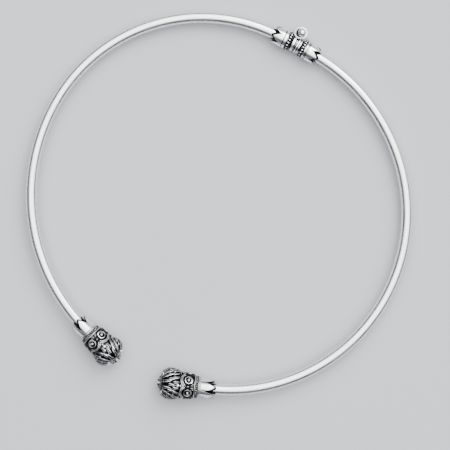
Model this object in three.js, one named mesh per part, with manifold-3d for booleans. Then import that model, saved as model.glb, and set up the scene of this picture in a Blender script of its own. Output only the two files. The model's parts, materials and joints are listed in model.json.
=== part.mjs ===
// A hinged silver torc with two lion-head terminals, lying flat.
//
// The hinge is at +Y, the open front faces -Y and +Z is up. Lengths are in millimetres, angles in
// degrees. Each half is drawn along the centre line of its bar: a station is the distance along that
// line from the plane where the two halves meet, and a section around it is given by a roll angle
// (0 is the top, growing toward the left of someone walking away from the hinge) and a radius.

import * as THREE from 'three';
import { mergeVertices } from 'three/addons/utils/BufferGeometryUtils.js';
import Module from 'manifold-3d';

const wasm = await Module();
wasm.setup();

const { cos, sin, sqrt, abs, min, max, PI } = Math;
const rad = THREE.MathUtils.degToRad;
const { lerp } = THREE.MathUtils;

// ---- Driving dimensions ----

const BAR_RADIUS = 2.0;
const CANT = rad(2.6); // each half leaves the hinge canted toward the front by this much
const HINGE_STRAIGHT = 8.8; // the bar is straight inside the hinge collar
const HALVES = {
  left: {
    turn: 1,
    arcs: [{ radius: 61.0, sweep: rad(86.0) }, { radius: 69.1, sweep: rad(75.0) }],
    endStraight: 0,
    headRoll: rad(8),
    hingeLeafTurn: rad(18), // how far each collar of leaves is turned about the bar
    terminalLeafTurn: 0,
  },
  right: {
    turn: -1,
    arcs: [{ radius: 67.3, sweep: rad(44.8) }, { radius: 64.2, sweep: rad(111.8) }],
    endStraight: 2.9,
    headRoll: 0,
    hingeLeafTurn: rad(-18),
    terminalLeafTurn: rad(-12),
  },
};

const FIT = 0.08; // clearance where one piece sits on another
const LEAVES = 6; // pointed leaves around each toothed collar
const LEAF_FLOOR = 0.3; // how far the notches stop short of the band
const LEAF_WALL = 0.45;
const HINGE_LEAF = { length: 3.5, baseRadius: 3.5, tipRadius: 3.1 };
const TERMINAL_LEAF = { length: 4.6, baseRadius: 3.15, tipRadius: 3.35, start: -0.5 };

const HINGE_PLAY = 0.16; // clearance around the moving knuckles
const PIVOT_OFFSET = 4.2; // the pin stands this far outside the bar's centre line
const KNUCKLE_RADIUS = 2.15;
const KNUCKLE_HALF_HEIGHT = 3.0;
const MIDDLE_KNUCKLE_HALF_HEIGHT = 1.1;
const RIM_WIDTH = 0.6; // the raised rim around the ball
const RIM_HEIGHT = 0.4;
const PIN_RADIUS = 0.7;
const BALL_RADIUS = 1.5;
const BALL_HEIGHT = 3.65;
const THROUGH = 10; // half height of the discs that cut right through
const RIVET = { radius: 1.1, low: -3.45, high: -3.08 }; // the pin's lower head
const CAP_RADIUS = 2.7;
const CAP_LIP_RADIUS = 2.8; // where the two caps meet
const RIB_RADIUS = 3.05;
const RIB_SLOPE = 0.1;
const HINGE_BEADS = 18;
const BEAD_RING_RADIUS = 3.7;
const BEAD_RELIEF = 0.45;
const HINGE_ENDS = { // stations of each half's cap, ribs, beads and leaves
  left: {
    capLength: 1.82,
    ribs: [0.75],
    ribHalfWidth: 0.5,
    beadStart: 1.9,
    beadLength: 1.4,
    bandStart: 3.38,
    leafStart: 5.2,
  },
  right: {
    capLength: 2.32,
    ribs: [0.9, 1.7],
    ribHalfWidth: 0.16,
    beadStart: 2.4,
    beadLength: 1.35,
    bandStart: 3.83,
    leafStart: 5.6,
  },
};

const CUFF_RADIUS = 4.17; // at its double wire, next to the leaves
const DOUBLE_WIRE = 0.95; // length of that wire
const WIRE_GROOVE = 0.25;
const LOOPS_STATION = 1.65; // a row of small loops beside it
const LOOP_RELIEF = 0.25;
const FIELD_START = 2.3; // the scrollwork field runs from here to the lobed edge
const FIELD_RADIUS = 4.3;
const FIELD_FLARE = 0.09; // growth of the field's radius for each millimetre along the cuff
const SCROLLS = 6;
const SCROLL_STATION = 4.4;
const SCROLL_RADIUS = 1.5;
const SCROLL_INNER_RADIUS = 0.72;
const SCROLL_HALF_WIDTH = 0.26;
const SCROLL_FROM = rad(215); // a scroll winds from here, measured about its eye from the mane's side
const SCROLL_TO = rad(-190);
const SCROLL_RELIEF = 0.36;
const EYE_RADIUS = 0.6;
const LOBE_RADIUS = 2.95;
const LOBE_RIM = 0.8; // width of the raised edge
const LOBE_RELIEF = 0.42;
const CUSP_STATION = 7.6;
const CUSP_HALF_LENGTH = 1.35;
const CUSP_HALF_WIDTH = 0.75;
const POCKET_PLAY = 0.2; // around the drops where they reach into the mane

const HEAD_BACK = 7.5; // the head starts here, measured from the start of the cuff
const LOCKS = 21; // locks in each tier of the mane
const MANE_FRONT = 13.9;
const MANE_BACK_RADIUS = 4.5;
const LOCK_RELIEF = 0.3; // at the tips of the locks; their roots lie closer
const ROOT_RELIEF = 0.12;
const LOCK_OVERHANG = 0.2;
const MANE_TWIST = 0.62; // radians that a lock swings away from the parting, front to back
const MANE_FLATTENING = 0.9; // the mane's height over its width
const MUZZLE_TIP = 16.0;

const REST_AT_HINGE = 3.6; // depth of the surface it lies on below the bar's centre line
const REST_AT_HEADS = 5.4;
const HEADS_Y = -130.5;
const LEAN = Math.atan2(REST_AT_HEADS - REST_AT_HINGE, -HEADS_Y);

const SILVER = { color: 0xd9dade, roughness: 0.18, metalness: 1 };
const DARKENED_SILVER = { color: 0x8d9096, roughness: 0.32, metalness: 1 };

// ---- Solids ----

// Turns the faces outward, drops the attributes that split vertices, and closes the shell.
function closed(geometry) {
  let shell = geometry.clone();
  shell.deleteAttribute('normal');
  shell.deleteAttribute('uv');
  shell = mergeVertices(shell, 1e-5);
  const p = shell.attributes.position;
  const index = shell.index.array;
  const [a, b, c] = [new THREE.Vector3(), new THREE.Vector3(), new THREE.Vector3()];
  let volume = 0;
  for (let i = 0; i < index.length; i += 3) {
    a.fromBufferAttribute(p, index[i]);
    b.fromBufferAttribute(p, index[i + 1]);
    c.fromBufferAttribute(p, index[i + 2]);
    volume += a.dot(b.cross(c));
  }
  if (volume < 0) {
    for (let i = 0; i < index.length; i += 3) {
      [index[i + 1], index[i + 2]] = [index[i + 2], index[i + 1]];
    }
  }
  return shell;
}

function solid(geometry) {
  const shell = closed(geometry);
  return new wasm.Manifold(new wasm.Mesh({
    numProp: 3,
    vertProperties: new Float32Array(shell.attributes.position.array),
    triVerts: new Uint32Array(shell.index.array),
  }));
}

function surface(manifold) {
  const mesh = manifold.getMesh();
  const geometry = new THREE.BufferGeometry();
  geometry.setAttribute('position', new THREE.BufferAttribute(mesh.vertProperties, 3));
  geometry.setIndex(new THREE.BufferAttribute(mesh.triVerts, 1));
  return geometry;
}

function join(geometries) {
  return geometries.map(solid).reduce((all, next) => all.add(next));
}

// A closed skin over rings of points. A sleeve's last ring meets its first one; otherwise the two
// end rings are closed with fans around their middle points.
function skin(rings, { sleeve = false } = {}) {
  const count = rings[0].length;
  const points = rings.flat();
  const faces = [];
  const bands = sleeve ? rings.length : rings.length - 1;
  for (let k = 0; k < bands; k++) {
    const here = k * count;
    const next = ((k + 1) % rings.length) * count;
    for (let j = 0; j < count; j++) {
      const i = (j + 1) % count;
      faces.push(here + j, next + j, next + i, here + j, next + i, here + i);
    }
  }
  if (!sleeve) {
    for (const [start, order] of [[0, 1], [(rings.length - 1) * count, -1]]) {
      const middle = new THREE.Vector3();
      for (let j = 0; j < count; j++) middle.addScaledVector(points[start + j], 1 / count);
      const hub = points.push(middle) - 1;
      for (let j = 0; j < count; j++) {
        const i = (j + 1) % count;
        const [p, q] = order > 0 ? [j, i] : [i, j];
        faces.push(hub, start + p, start + q);
      }
    }
  }
  const geometry = new THREE.BufferGeometry().setFromPoints(points);
  geometry.setIndex(faces);
  return closed(geometry);
}

// ---- The bar's centre line ----

function barLength(half) {
  const bends = half.arcs.reduce((sum, arc) => sum + arc.radius * arc.sweep, 0);
  return HINGE_STRAIGHT + bends + half.endStraight;
}

function stationFrame(half, station) {
  let heading = half.turn > 0 ? PI + CANT : -CANT;
  let left = station;
  const point = new THREE.Vector2();
  const go = (distance, direction) => {
    point.x += distance * cos(direction);
    point.y += distance * sin(direction);
  };
  const straight = min(left, HINGE_STRAIGHT);
  go(straight, heading);
  left -= straight;
  for (const arc of half.arcs) {
    const distance = min(left, arc.radius * arc.sweep);
    const bend = distance / arc.radius;
    go(2 * arc.radius * sin(bend / 2), heading + half.turn * bend / 2);
    heading += half.turn * bend;
    left -= distance;
  }
  go(left, heading);
  return { point, heading };
}

// Local x runs along the bar, y to its left and z up.
function toTorc(half, local) {
  const { point, heading } = stationFrame(half, local.x);
  return new THREE.Vector3(
    point.x - local.y * sin(heading),
    point.y + local.y * cos(heading),
    local.z,
  );
}

function alongBar(half, geometry) {
  const bent = geometry.clone();
  const p = bent.attributes.position;
  const v = new THREE.Vector3();
  for (let i = 0; i < p.count; i++) {
    const w = toTorc(half, v.fromBufferAttribute(p, i));
    p.setXYZ(i, w.x, w.y, w.z);
  }
  return bent;
}

function ring(count, place) {
  return Array.from({ length: count }, (_, j) => {
    const turn = 2 * PI * j / count;
    const { x, r, roll = turn } = place(turn, j);
    return new THREE.Vector3(x, r * sin(roll), r * cos(roll));
  });
}

const roundRing = (count, x, r) => ring(count, () => ({ x, r }));

// ---- Bars and collars ----

const BAR_SIDES = 10;
const BAR_STEPS = 17;

function bar(half, start) {
  const end = barLength(half) - FIT;
  const rings = [];
  for (let k = 0; k <= BAR_STEPS; k++) {
    rings.push(roundRing(BAR_SIDES, lerp(start, end, k / BAR_STEPS), BAR_RADIUS));
  }
  return alongBar(half, skin(rings));
}

// The leaves' outline: how far the collar's edge reaches at an angle from the middle of a leaf, for
// leaves of unit length.
function leafReach(turn) {
  const pitch = 2 * PI / LEAVES;
  const u = abs(((turn / pitch + 0.5) % 1) - 0.5) * 2;
  return sqrt(max(0, 1 - u));
}

const LEAF_COLUMNS = 4 * LEAVES;

// A sleeve with a plain band whose edge is cut into pointed leaves. `reach` is signed: the leaves
// point along it.
function leafCollar({ bandStart, leafStart, reach, leafTurn, baseRadius, tipRadius }) {
  const edge = (turn) => leafStart + reach * leafReach(turn);
  const edgeRadius = (turn) => lerp(baseRadius, tipRadius, leafReach(turn));
  const bore = BAR_RADIUS + FIT;
  const collar = skin([
    roundRing(LEAF_COLUMNS, bandStart, bore),
    roundRing(LEAF_COLUMNS, bandStart, baseRadius),
    roundRing(LEAF_COLUMNS, leafStart - Math.sign(reach) * LEAF_FLOOR, baseRadius),
    ring(LEAF_COLUMNS, (turn) => ({ x: edge(turn), r: edgeRadius(turn) })),
    ring(LEAF_COLUMNS, (turn) => ({ x: edge(turn), r: edgeRadius(turn) - LEAF_WALL })),
  ], { sleeve: true });
  collar.rotateX(-leafTurn);
  return collar;
}

// ---- The hinge ----

const pivotDisc = (radius, low, high, sides) => {
  const disc = new THREE.CylinderGeometry(radius, radius, high - low, sides);
  disc.rotateX(PI / 2);
  disc.translate(0, PIVOT_OFFSET, (low + high) / 2);
  return disc;
};

function turned(profile, sides) {
  const points = profile.map(([r, z]) => new THREE.Vector2(r, z));
  const lathe = new THREE.LatheGeometry(points, sides);
  lathe.rotateX(PI / 2);
  lathe.translate(0, PIVOT_OFFSET, 0);
  return lathe;
}

const KNUCKLE_SIDES = 12;
const UPPER_KNUCKLE_LOW = MIDDLE_KNUCKLE_HALF_HEIGHT + HINGE_PLAY;

// The outer knuckle on top ends in a raised rim around the ball.
function knuckle(low, high, rim) {
  const seat = rim ? high - RIM_HEIGHT / 2 : high;
  const crown = rim ? [
    [KNUCKLE_RADIUS, seat],
    [KNUCKLE_RADIUS - RIM_WIDTH / 2, seat + RIM_HEIGHT],
    [KNUCKLE_RADIUS - RIM_WIDTH, seat],
  ] : [[KNUCKLE_RADIUS, high]];
  return turned([[0, low], [KNUCKLE_RADIUS, low], ...crown, [0, seat]], KNUCKLE_SIDES);
}

const CAP_SIDES = 14;

// The end cap of one half, with a rib at each named station.
function capBody(half, { capLength, ribs, ribHalfWidth }) {
  const profile = [[-1, CAP_LIP_RADIUS], [ribs[0] - ribHalfWidth - 2 * RIB_SLOPE, CAP_LIP_RADIUS]];
  for (const station of ribs) {
    for (const side of [-1, 1]) {
      const foot = [station + side * (ribHalfWidth + RIB_SLOPE), CAP_RADIUS];
      const crest = [station + side * ribHalfWidth, RIB_RADIUS];
      profile.push(...(side < 0 ? [foot, crest] : [crest, foot]));
    }
  }
  profile.push([capLength, CAP_RADIUS]);
  return alongBar(half, skin(profile.map(([x, r]) => roundRing(CAP_SIDES, x, r))));
}

function splitBlock(half) {
  const size = 20;
  const block = new THREE.BoxGeometry(size, size, size);
  block.translate(-half.turn * (size / 2 + FIT), 0, 0);
  return block;
}

function ballSeat() {
  const seat = new THREE.SphereGeometry(BALL_RADIUS + FIT, 10, 7);
  seat.translate(0, PIVOT_OFFSET, BALL_HEIGHT);
  return seat;
}

function hingeCap(name) {
  const half = HALVES[name];
  const cap = solid(capBody(half, HINGE_ENDS[name])).intersect(solid(splitBlock(half)));
  const pinHole = solid(pivotDisc(PIN_RADIUS + HINGE_PLAY, -THROUGH, THROUGH, KNUCKLE_SIDES));
  const clearRadius = KNUCKLE_RADIUS + HINGE_PLAY;
  if (name === 'left') {
    const scoop = solid(pivotDisc(clearRadius, -UPPER_KNUCKLE_LOW, UPPER_KNUCKLE_LOW, KNUCKLE_SIDES));
    return cap.subtract(scoop)
      .add(solid(knuckle(UPPER_KNUCKLE_LOW, KNUCKLE_HALF_HEIGHT, true)))
      .add(solid(knuckle(-KNUCKLE_HALF_HEIGHT, -UPPER_KNUCKLE_LOW, false)))
      .subtract(pinHole)
      .subtract(solid(ballSeat()));
  }
  const middle = MIDDLE_KNUCKLE_HALF_HEIGHT;
  const above = solid(pivotDisc(clearRadius, middle, THROUGH, KNUCKLE_SIDES));
  const below = solid(pivotDisc(clearRadius, -THROUGH, -middle, KNUCKLE_SIDES));
  return cap.subtract(above).subtract(below).add(solid(knuckle(-middle, middle, false))).subtract(pinHole);
}

function hingePin() {
  const { radius, low, high } = RIVET;
  const profile = [[0, low], [radius, low], [radius, high], [PIN_RADIUS, high]];
  const neck = Math.asin(PIN_RADIUS / BALL_RADIUS);
  const steps = 6;
  for (let k = 0; k <= steps; k++) {
    const polar = lerp(PI - neck, 0, k / steps);
    profile.push([k < steps ? BALL_RADIUS * sin(polar) : 0, BALL_HEIGHT + BALL_RADIUS * cos(polar)]);
  }
  return closed(turned(profile, 10));
}

// A ring of beads: every other column of its skin stands out.
function beadRing(half, { beadStart, beadLength }) {
  const columns = 2 * HINGE_BEADS;
  const bore = BAR_RADIUS + FIT;
  const groove = BEAD_RING_RADIUS - BEAD_RELIEF;
  return alongBar(half, skin([
    roundRing(columns, beadStart, bore),
    roundRing(columns, beadStart, groove),
    ring(columns, (turn, j) => ({ x: beadStart + beadLength / 2, r: j % 2 ? groove : BEAD_RING_RADIUS })),
    roundRing(columns, beadStart + beadLength, groove),
    roundRing(columns, beadStart + beadLength, bore),
  ], { sleeve: true }));
}

// ---- The cuff ----

const CUFF_COLUMNS = 4 * SCROLLS;

const fieldRadius = (x) => FIELD_RADIUS + FIELD_FLARE * (x - FIELD_START);

// The lobed edge: an arc around the eye of each scroll.
function lobeEdge(turn) {
  const pitch = 2 * PI / SCROLLS;
  const fromEye = abs((turn / pitch) % 1 - 0.5) * pitch * fieldRadius(SCROLL_STATION);
  return SCROLL_STATION + sqrt(LOBE_RADIUS ** 2 - fromEye ** 2);
}

function cuffBody() {
  const atEdge = (back, rise) => ring(CUFF_COLUMNS, (turn) => {
    const x = lobeEdge(turn) - back;
    return { x, r: fieldRadius(x) + rise };
  });
  const loops = ring(CUFF_COLUMNS, (turn, j) => {
    return { x: LOOPS_STATION, r: CUFF_RADIUS + (j % 2 ? 0 : LOOP_RELIEF) };
  });
  return skin([
    roundRing(CUFF_COLUMNS, FIT, CUFF_RADIUS),
    roundRing(CUFF_COLUMNS, DOUBLE_WIRE, CUFF_RADIUS),
    roundRing(CUFF_COLUMNS, DOUBLE_WIRE + FIT, CUFF_RADIUS - WIRE_GROOVE),
    loops,
    roundRing(CUFF_COLUMNS, FIELD_START, FIELD_RADIUS - FIT),
    atEdge(LOBE_RIM, 0),
    atEdge(LOBE_RIM / 2, LOBE_RELIEF),
    atEdge(0, -LOBE_RELIEF / 2),
    roundRing(CUFF_COLUMNS, HEAD_BACK - FIT, FIELD_RADIUS),
  ]);
}

// A point of the field, from its station and its distance across, with a height above the field.
function onField(x, across, height) {
  const roll = across / fieldRadius(SCROLL_STATION);
  const r = fieldRadius(x) + height;
  return new THREE.Vector3(x, r * sin(roll), r * cos(roll));
}

// An eye's distance across from the middle line of its pair.
const eyeAcross = (PI / SCROLLS) * fieldRadius(SCROLL_STATION);

// A scroll of ridge section that starts at the back beside its pair's middle line, passes outside
// its eye and winds in. `side` is the hand of the scroll.
function scroll(middleRoll, side) {
  const steps = 7;
  const foot = -SCROLL_RELIEF / 2;
  const rings = [];
  for (let k = 0; k <= steps; k++) {
    const t = k / steps;
    const angle = lerp(SCROLL_FROM, SCROLL_TO, t);
    const radius = lerp(SCROLL_RADIUS, SCROLL_INNER_RADIUS, t ** 1.2);
    const spot = (offset, height) => onField(
      SCROLL_STATION + (radius + offset) * cos(angle),
      side * (eyeAcross + (radius + offset) * sin(angle)),
      height,
    );
    rings.push([spot(-SCROLL_HALF_WIDTH, foot), spot(0, SCROLL_RELIEF), spot(SCROLL_HALF_WIDTH, foot)]);
  }
  const geometry = skin(rings);
  geometry.rotateX(-middleRoll);
  return closed(geometry);
}

// The bead in the eye of a scroll.
function eye(roll) {
  const bead = new THREE.OctahedronGeometry(EYE_RADIUS);
  bead.translate(SCROLL_STATION, 0, fieldRadius(SCROLL_STATION));
  bead.rotateX(-roll);
  return bead;
}

const pairMiddles = Array.from({ length: SCROLLS / 2 }, (_, k) => 4 * PI * k / SCROLLS);

// The drop of grains that fills the cusp between the two lobes of a pair and points into the mane.
function cuspDrops(extra = 0) {
  return pairMiddles.map((roll) => {
    const drop = new THREE.IcosahedronGeometry(1, 0);
    drop.scale(CUSP_HALF_LENGTH + extra, CUSP_HALF_WIDTH + extra, CUSP_HALF_WIDTH + extra);
    drop.translate(CUSP_STATION, 0, fieldRadius(CUSP_STATION) + FIT);
    drop.rotateX(-roll);
    return drop;
  });
}

function cuff() {
  const pieces = [cuffBody(), ...cuspDrops()];
  for (const roll of pairMiddles) {
    for (const side of [-1, 1]) {
      pieces.push(scroll(roll, side));
      pieces.push(eye(roll + side * PI / SCROLLS));
    }
  }
  return join(pieces);
}

// ---- The lion's head ----

// The tiers of the mane, front to back: where each starts and ends, and its radius there.
const TIERS = [
  { root: MANE_FRONT, rootRadius: 3.8, tip: 11.4, tipRadius: 6.15 },
  { root: 11.6, rootRadius: 5.35, tip: 9.4, tipRadius: 5.85 },
  { root: 9.6, rootRadius: 4.95, tip: 7.9, tipRadius: 5.2 },
];

// One ring of the mane. Every other column is the ridge of a lock, and the locks of one tier lie
// over the gaps of the next.
function maneRing(tier, x, radius, relief, overhang) {
  const columns = 2 * LOCKS;
  return Array.from({ length: columns }, (_, j) => {
    const turn = 2 * PI * j / columns;
    const ridge = (j + tier) % 2 === 0 ? 1 : -1;
    const back = (MANE_FRONT - x) / (MANE_FRONT - HEAD_BACK);
    const roll = turn + MANE_TWIST * back * sin(turn);
    const r = radius + ridge * relief;
    return new THREE.Vector3(x - ridge * overhang, r * sin(roll), MANE_FLATTENING * r * cos(roll));
  });
}

function mane() {
  const rings = [];
  TIERS.forEach(({ root, rootRadius, tip, tipRadius }, tier) => {
    rings.push(maneRing(tier, root, rootRadius, ROOT_RELIEF, 0));
    rings.push(maneRing(tier, tip, tipRadius, LOCK_RELIEF, LOCK_OVERHANG));
  });
  rings.push(maneRing(TIERS.length, HEAD_BACK, MANE_BACK_RADIUS, 0, 0));
  return skin(rings);
}

function lump([x, y, z], [rx, ry, rz], { pitch = 0, turn = 0, detail = 1 } = {}) {
  const geometry = new THREE.IcosahedronGeometry(1, detail);
  geometry.scale(rx, ry, rz);
  geometry.rotateY(pitch);
  geometry.rotateX(turn);
  geometry.translate(x, y, z);
  return geometry;
}

// The face looks along +x, with its crown up.
function face() {
  const pieces = [
    lump([13.0, 0, 0.1], [1.7, 3.6, 3.4]), // cheeks and forehead
    lump([14.2, 0, -0.7], [1.4, 1.8, 1.6], { detail: 0 }), // muzzle
    lump([14.5, 0, 0.7], [1.3, 0.65, 0.6], { pitch: rad(28), detail: 0 }), // bridge of the nose
    lump([15.4, 0, 0.1], [0.5, 0.75, 0.42], { detail: 0 }), // nose
    lump([14.3, 0, -2.35], [1.3, 1.25, 0.85], { detail: 0 }), // lower jaw
    lump([11.2, 0, -3.1], [3.0, 2.4, 2.6]), // beard, which the head lies on
  ];
  for (const side of [-1, 1]) {
    pieces.push(lump([15.0, side, -0.7], [MUZZLE_TIP - 15.0, 1.0, 0.95], { detail: 0 })); // whisker pad
    pieces.push(lump([13.8, side * 2.1, -0.95], [1.3, 1.35, 1.4], { detail: 0 })); // cheek
    const slant = side * rad(18);
    pieces.push(lump([14.3, side * 1.4, 1.55], [0.6, 1.3, 0.45], { turn: slant, detail: 0 })); // brow
    pieces.push(lump([13.8, side * 3.15, 2.1], [0.55, 0.85, 0.85], { detail: 0 })); // ear
  }
  return pieces;
}

function floorSlab() {
  const [width, length, thickness] = [300, 400, 10];
  const slab = new THREE.BoxGeometry(width, length, thickness);
  slab.translate(0, 0, -REST_AT_HINGE * cos(LEAN) - thickness / 2);
  slab.rotateX(LEAN);
  return slab;
}

function head(place, floor) {
  const body = join([mane(), ...face()].map(place));
  const pockets = join(cuspDrops(POCKET_PLAY).map(place));
  return body.subtract(pockets).subtract(floor);
}

// ---- The torc ----

const torc = new THREE.Group();
torc.name = 'torc';

function add(name, geometry, finish) {
  const mesh = new THREE.Mesh(geometry, new THREE.MeshStandardMaterial(finish));
  mesh.name = name;
  torc.add(mesh);
}

const floor = solid(floorSlab());
const scooped = solid(pivotDisc(KNUCKLE_RADIUS + HINGE_PLAY, -THROUGH, THROUGH, KNUCKLE_SIDES));

for (const [name, half] of Object.entries(HALVES)) {
  const end = HINGE_ENDS[name];
  const cuffStart = barLength(half);
  const onTerminal = (geometry) => { // local x starts at the cuff
    const moved = geometry.clone();
    moved.rotateX(-half.headRoll);
    moved.translate(cuffStart, 0, 0);
    return alongBar(half, moved);
  };
  add(`${name}_hoop`, bar(half, end.capLength + FIT), SILVER);
  add(`${name}_hinge_cap`, surface(hingeCap(name)), SILVER);
  const beads = solid(beadRing(half, end)).subtract(scooped).subtract(floor);
  add(`${name}_bead_ring`, surface(beads), DARKENED_SILVER);
  add(`${name}_hinge_leaves`, alongBar(half, leafCollar({
    bandStart: end.bandStart,
    leafStart: end.leafStart,
    reach: HINGE_LEAF.length,
    leafTurn: half.hingeLeafTurn,
    ...HINGE_LEAF,
  })), SILVER);
  add(`${name}_terminal_leaves`, onTerminal(leafCollar({
    bandStart: -FIT,
    leafStart: TERMINAL_LEAF.start,
    reach: -TERMINAL_LEAF.length,
    leafTurn: half.terminalLeafTurn,
    ...TERMINAL_LEAF,
  })), SILVER);
  add(`${name}_cuff`, onTerminal(surface(cuff())), DARKENED_SILVER);
  add(`${name}_lion_head`, surface(head(onTerminal, floor)), DARKENED_SILVER);
}
add('hinge_pin', hingePin(), SILVER);

// Leaned onto its two beards and the hinge, with the origin below the middle of it all.
torc.rotation.x = -LEAN;
torc.position.z = REST_AT_HINGE * cos(LEAN);
torc.updateMatrixWorld(true);
const box = new THREE.Box3().setFromObject(torc, true);
torc.position.x -= (box.min.x + box.max.x) / 2;
torc.position.y -= (box.min.y + box.max.y) / 2;

const part = new THREE.Group();
part.add(torc);

export default part;
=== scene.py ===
"""A hinged silver torc with two lion-head terminals, laid flat on a pale floor.

Each piece is modelled straight, in millimetres, with local x along the bar, y to its left and z up. It is
then laid along the bent bar and brought into the frame's own place and units.
"""
import json
import math

import bmesh
import bpy
import numpy as np
from mathutils import Matrix, Vector


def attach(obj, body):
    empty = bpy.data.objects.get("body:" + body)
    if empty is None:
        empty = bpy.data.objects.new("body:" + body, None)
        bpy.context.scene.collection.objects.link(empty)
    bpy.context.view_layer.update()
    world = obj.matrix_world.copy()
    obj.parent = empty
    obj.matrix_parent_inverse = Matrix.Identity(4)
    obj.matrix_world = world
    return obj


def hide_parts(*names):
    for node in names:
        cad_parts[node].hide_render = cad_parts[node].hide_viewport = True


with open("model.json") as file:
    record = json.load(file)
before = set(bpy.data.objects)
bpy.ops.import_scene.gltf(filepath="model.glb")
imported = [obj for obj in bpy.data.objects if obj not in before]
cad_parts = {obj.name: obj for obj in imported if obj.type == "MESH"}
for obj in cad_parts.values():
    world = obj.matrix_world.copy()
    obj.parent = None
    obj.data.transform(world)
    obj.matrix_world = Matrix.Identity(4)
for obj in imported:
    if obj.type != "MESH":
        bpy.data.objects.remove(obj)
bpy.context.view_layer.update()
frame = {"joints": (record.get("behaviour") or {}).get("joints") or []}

bl_info = {
    "name": "Lion-head torc",
    "version": (1, 0, 0),
    "blender": (4, 5, 0),
    "location": "View3D > Sidebar > Torc",
    "description": "Models a hinged silver torc with lion-head terminals around its construction frame",
    "category": "Add Mesh",
}

MM = 0.001
HALVES = ("left", "right")
TURN = {"left": 1.0, "right": -1.0}
SEEDS = {"left": 7, "right": 11}  # for the random differences between the locks of each mane


# ---- Sizes and colours ----

def number(name, description, values, subtype="NONE", unit="NONE"):
    """One number, or a pair of them for the left half and the right."""
    if len(values) == 1:
        return bpy.props.FloatProperty(
            name=name, description=description, default=values[0], subtype=subtype, unit=unit)
    return bpy.props.FloatVectorProperty(
        name=name, description=f"{description}, left and right", default=values, size=len(values), unit=unit)


def millimetres(name, description, *values):
    return number(name, f"{description}, in millimetres", values)


def angle(name, description, *degrees):
    return number(name, description, [math.radians(value) for value in degrees], "ANGLE", "ROTATION")


def share(name, description, *values):
    return number(name, description, values, "FACTOR")


def colour(name, description, default):
    return bpy.props.FloatVectorProperty(
        name=name, description=description, default=default, subtype="COLOR", size=3, min=0.0, max=1.0)


def count(name, description, default):
    return bpy.props.IntProperty(name=name, description=description, default=default, min=1)


def of_half(pair, half):
    return pair[HALVES.index(half)]


class TorcBarSettings(bpy.types.PropertyGroup):
    """The round bar and the line that it is bent to."""
    radius: millimetres("Bar radius", "Radius of the round bar", 2.0)
    cant: angle("Cant", "How far each half leaves the hinge toward the front", 2.6)
    hinge_straight: millimetres("Hinge straight", "Straight length inside the hinge collar", 8.8)
    back_radius: millimetres("Back radius", "Bend radius at the back", 61.0, 67.3)
    back_sweep: angle("Back sweep", "Angle of the back bend", 86.0, 44.8)
    front_radius: millimetres("Front radius", "Bend radius at the front", 69.1, 64.2)
    front_sweep: angle("Front sweep", "Angle of the front bend", 75.0, 111.8)
    end: millimetres("End straight", "Straight length before the cuff", 0.0, 2.9)
    roll: angle("Terminal roll", "Turn of the terminal about the bar", 8.0, 0.0)
    sides: count("Sides", "Faces around the bar", 72)
    end_steps: count("End steps", "Rings at each end of the bar", 56)
    long_steps: count("Long steps", "Rings between the ends of the bar", 190)


class TorcLeafSettings(bpy.types.PropertyGroup):
    """The collars of pointed leaves."""
    leaves: count("Leaves", "Leaves around each collar", 6)
    wall: millimetres("Wall", "Thickness of the sheet", 0.42)
    terminal_length: millimetres("Terminal leaf", "Length of a leaf at a terminal", 4.6)
    hinge_length: millimetres("Hinge leaf", "Length of a leaf at the hinge", 3.5)
    terminal_base: millimetres("Terminal base radius", "Radius where a terminal's leaves start", 3.15)
    terminal_tip: millimetres("Terminal tip radius", "Radius at the tips of a terminal's leaves", 3.35)
    hinge_base: millimetres("Hinge base radius", "Radius where the hinge's leaves start", 3.42)
    hinge_tip: millimetres("Hinge tip radius", "Radius at the tips of the hinge's leaves", 3.1)
    belly: millimetres("Belly", "How far the middle of a leaf stands out", 0.1)
    # reach of the painted shadow and blackening beside a leaf's edge
    shadow: millimetres("Shadow", "Reach of the blackening beside a leaf's edge", 0.95)
    hinge_turn: angle("Hinge turn", "Turn of the leaves at the hinge", 18.0, -18.0)
    terminal_turn: angle("Terminal turn", "Turn of the leaves at the terminal", 0.0, -12.0)


class TorcHingeSettings(bpy.types.PropertyGroup):
    """The ferrules, knuckles and pin at the back."""
    pivot_offset: millimetres("Pivot offset", "Distance from the bar's line out to the pin", 4.2)
    play: millimetres("Play", "Clearance around the moving knuckles", 0.16)
    split: millimetres("Split", "Gap from the plane where the halves meet", 0.08)
    knuckle_radius: millimetres("Knuckle radius", "Outer radius of the knuckles", 2.15)
    knuckle_half_height: millimetres("Knuckle half height", "Half the height of the whole barrel", 3.0)
    middle_half_height: millimetres("Middle half height", "Half the height of the middle knuckle", 1.1)
    pin_radius: millimetres("Pin radius", "Radius of the pin", 0.7)
    rim_radius: millimetres("Rim radius", "Radius of the raised ring around the ball", 1.84)
    rim_wire: millimetres("Rim wire", "Half thickness of the raised ring", 0.36)
    rim_across: millimetres("Rim across", "How far the ring is off the pin, along +X", -0.44)
    rim_outward: millimetres("Rim outward", "How far the ring is off the pin, along +Y", -0.26)
    ball_radius: millimetres("Ball radius", "Radius of the ball on the pin", 1.55)
    ball_across: millimetres("Ball across", "How far the ball is off the pin, along +X", 0.22)
    ball_outward: millimetres("Ball outward", "How far the ball is off the pin, along +Y", 0.08)
    ball_height: millimetres("Ball height", "Height of the ball's middle above the bar's line", 3.65)
    beads: count("Beads", "Beads around each hinge ring", 20)
    bead_ring_radius: millimetres("Bead ring radius", "Radius over the beads", 3.7)


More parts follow.
